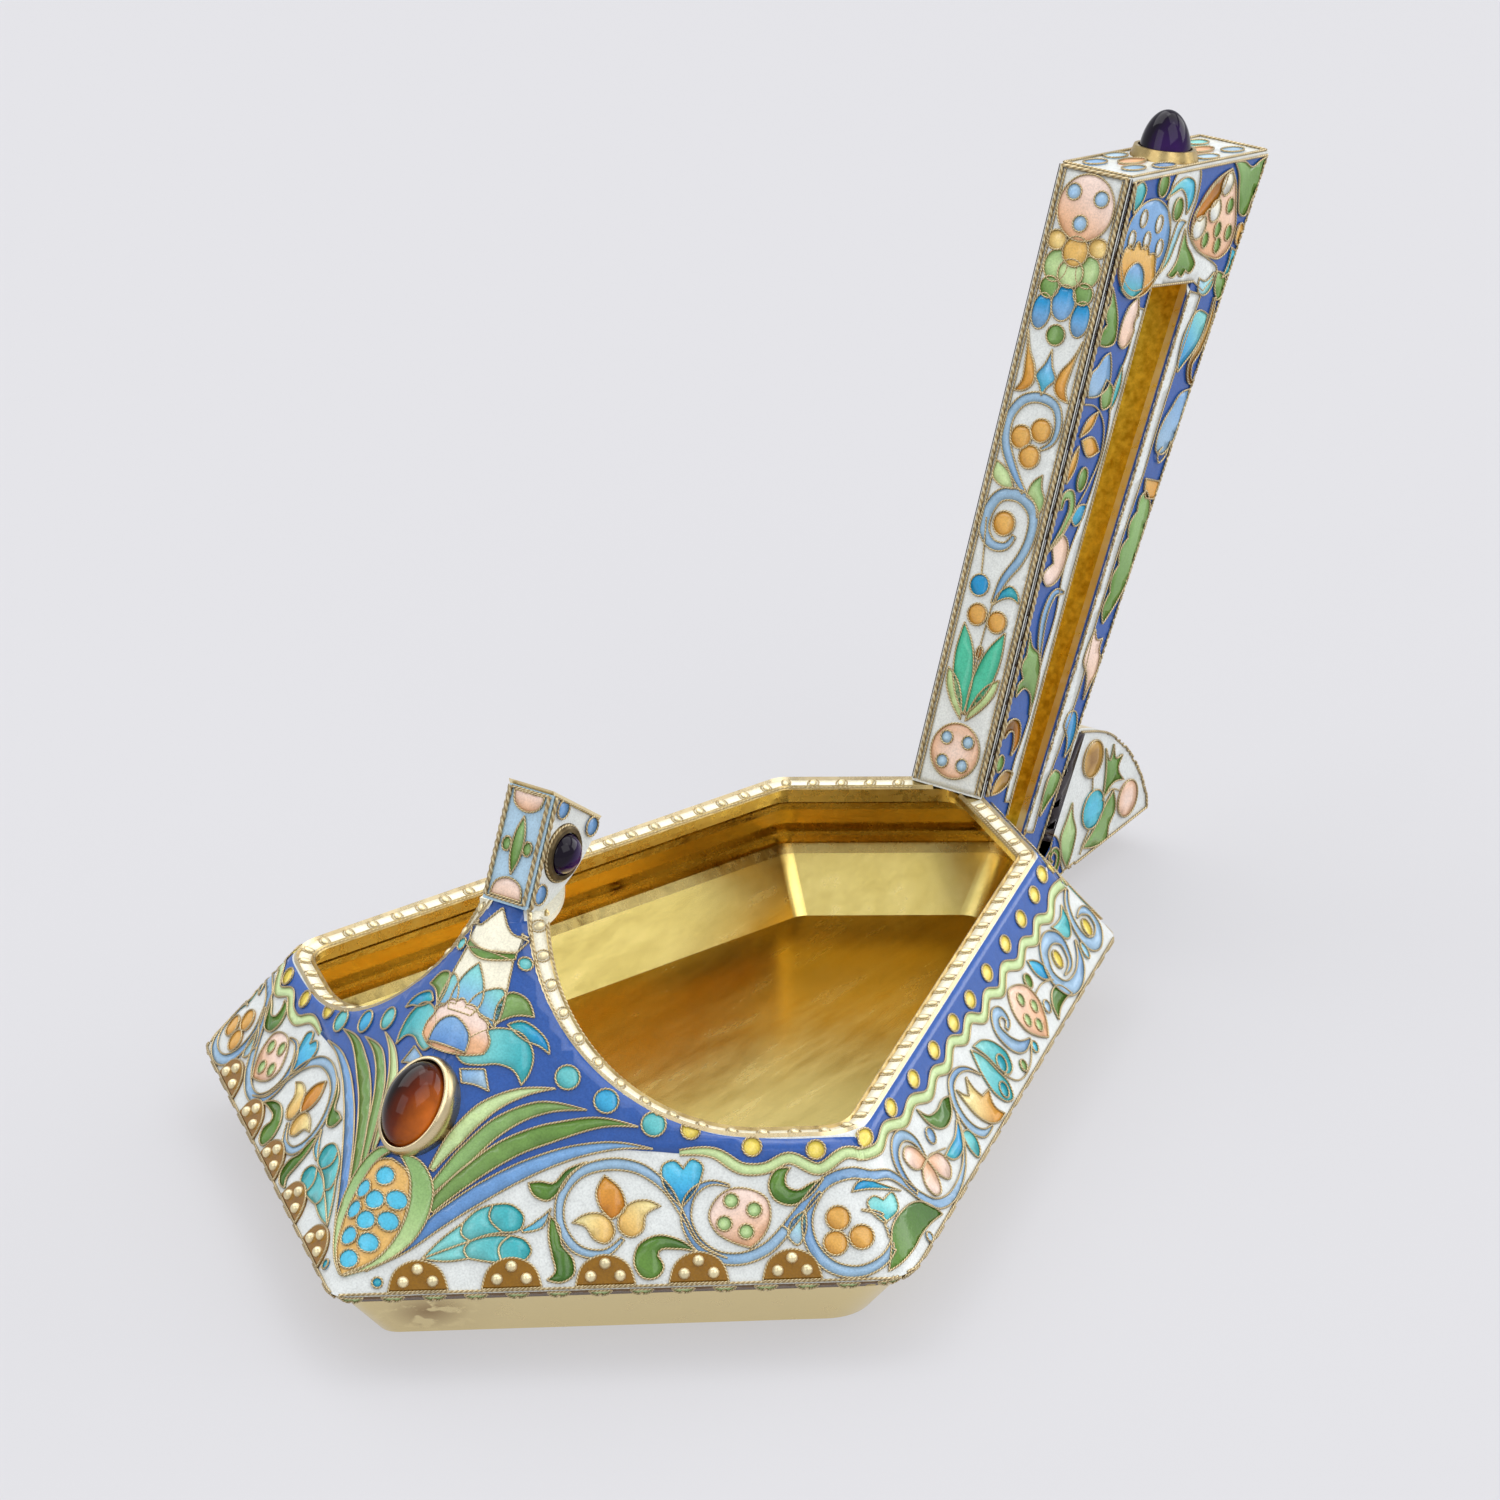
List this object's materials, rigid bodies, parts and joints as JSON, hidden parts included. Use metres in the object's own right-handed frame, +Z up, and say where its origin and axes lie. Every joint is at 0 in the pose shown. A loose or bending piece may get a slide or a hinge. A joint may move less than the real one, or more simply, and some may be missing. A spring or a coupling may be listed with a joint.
{
  "type": "kovsh",
  "caption": "Faceted enamelled kovsh with an open upright handle, a fan-shaped tail and a raised jewelled prow.",
  "frame": {"origin": "middle of the flat foot, on the surface that it rests on", "axes": "+Z up, +Y from the prow towards the handle and tail, X across, mirror-symmetric about X = 0"},
  "size_m": [0.0824, 0.1587, 0.0807],
  "materials": {
    "gilt_pale": "silver-gilt, pale and softly brushed, a little worn",
    "gilt_warm": "silver-gilt, rich yellow, burnished inside",
    "gilt_deep": "silver-gilt, deep yellow and matt inside the slot",
    "gilt_wire": "silver-gilt twisted wire and bezels",
    "enamel_white": "opaque white cloisonne enamel, satin gloss",
    "enamel_cream": "opaque cream enamel, satin gloss",
    "enamel_cobalt": "opaque cobalt enamel, satin gloss",
    "enamel_sky": "opaque pale blue enamel, satin gloss",
    "enamel_amber": "amber-brown enamel over gilt",
    "garnet_stone": "polished cabochon, deep amber red",
    "amethyst_stone": "polished cabochon, deep violet"
  },
  "bodies": {
    "root": {"edge_lobes_left": "enamel_amber", "edge_lobes_right": "enamel_amber", "front_enamel_left": "enamel_white", "front_enamel_right": "enamel_white", "garnet": "garnet_stone", "garnet_bezel": "gilt_wire", "girth_band": "gilt_pale", "handle_back_enamel": "enamel_white", "handle_back_plate": "gilt_pale", "handle_front_enamel": "enamel_white", "handle_front_plate": "gilt_pale", "handle_left_enamel": "enamel_cobalt", "handle_left_plate": "gilt_pale", "handle_right_enamel": "enamel_cobalt", "handle_right_plate": "gilt_pale", "handle_top_enamel": "enamel_white", "handle_top_plate": "gilt_pale", "inner_bead": "gilt_warm", "inner_collar": "gilt_warm", "lower_bowl": "gilt_pale", "post_amethyst_left": "amethyst_stone", "post_amethyst_right": "amethyst_stone", "post_bezel_left": "gilt_wire", "post_bezel_right": "gilt_wire", "post_body": "gilt_pale", "post_cap": "gilt_pale", "post_front_enamel": "enamel_sky", "post_left_enamel": "enamel_white", "post_right_enamel": "enamel_white", "rear_enamel_left": "enamel_white", "rear_enamel_right": "enamel_white", "rim_band": "enamel_cream", "rim_inner_wire": "gilt_wire", "rim_outer_wire": "gilt_wire", "rim_tongue": "enamel_cream", "shoulder_shell": "gilt_warm", "side_enamel_left": "enamel_white", "side_enamel_right": "enamel_white", "slot_back_lining": "gilt_deep", "slot_front_lining": "gilt_deep", "slot_top_lining": "gilt_deep", "tail_edge_strip": "gilt_pale", "tail_left_enamel": "enamel_white", "tail_left_plate": "gilt_pale", "tail_right_enamel": "enamel_white", "tail_right_plate": "gilt_pale", "top_amethyst": "amethyst_stone", "top_bezel": "gilt_wire"}
  },
  "joints": []
}
